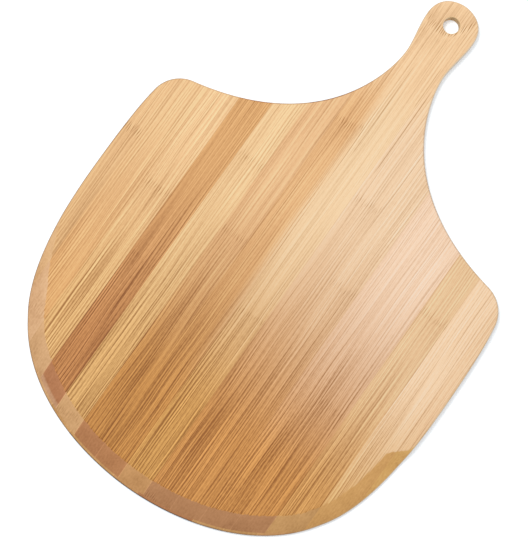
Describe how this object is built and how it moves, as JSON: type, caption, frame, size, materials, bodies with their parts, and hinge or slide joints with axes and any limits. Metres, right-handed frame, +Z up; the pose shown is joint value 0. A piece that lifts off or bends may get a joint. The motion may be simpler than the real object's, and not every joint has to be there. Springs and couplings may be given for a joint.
{
  "type": "serving board",
  "caption": "Flat paddle-shaped serving board of glued bamboo staves, with a wide bevel round its front edge and a short handle with a hanging hole.",
  "frame": {"origin": "middle of the board's length and width, at the level of its underside", "axes": "+X across the board to the right, +Y from the front edge towards the end of the handle, +Z up through the board to its top face"},
  "size_m": [0.305, 0.424, 0.009],
  "materials": {
    "bamboo_light": "pale bamboo, sanded and oiled, satin",
    "bamboo_tan": "tan bamboo, sanded and oiled, satin",
    "bamboo_amber": "amber bamboo, sanded and oiled, satin",
    "bamboo_russet": "reddish brown bamboo, sanded and oiled, satin"
  },
  "bodies": {
    "root": {"top_stave_middle": "bamboo_light", "top_stave_left_1": "bamboo_amber", "top_stave_left_2": "bamboo_amber", "top_stave_left_3": "bamboo_tan", "top_stave_left_4": "bamboo_russet", "top_stave_left_5": "bamboo_light", "top_stave_left_6": "bamboo_tan", "top_stave_left_7": "bamboo_tan", "top_stave_right_1": "bamboo_amber", "top_stave_right_2": "bamboo_amber", "top_stave_right_3": "bamboo_amber", "top_stave_right_4": "bamboo_amber", "top_stave_right_5": "bamboo_tan", "top_stave_right_6": "bamboo_light", "top_stave_right_7": "bamboo_tan", "bottom_stave_middle": "bamboo_light", "bottom_stave_left_1": "bamboo_tan", "bottom_stave_left_2": "bamboo_light", "bottom_stave_left_3": "bamboo_amber", "bottom_stave_left_4": "bamboo_light", "bottom_stave_left_5": "bamboo_tan", "bottom_stave_left_6": "bamboo_light", "bottom_stave_left_7": "bamboo_tan", "bottom_stave_right_1": "bamboo_tan", "bottom_stave_right_2": "bamboo_light", "bottom_stave_right_3": "bamboo_tan", "bottom_stave_right_4": "bamboo_amber", "bottom_stave_right_5": "bamboo_tan", "bottom_stave_right_6": "bamboo_light", "bottom_stave_right_7": "bamboo_tan"}
  },
  "joints": []
}
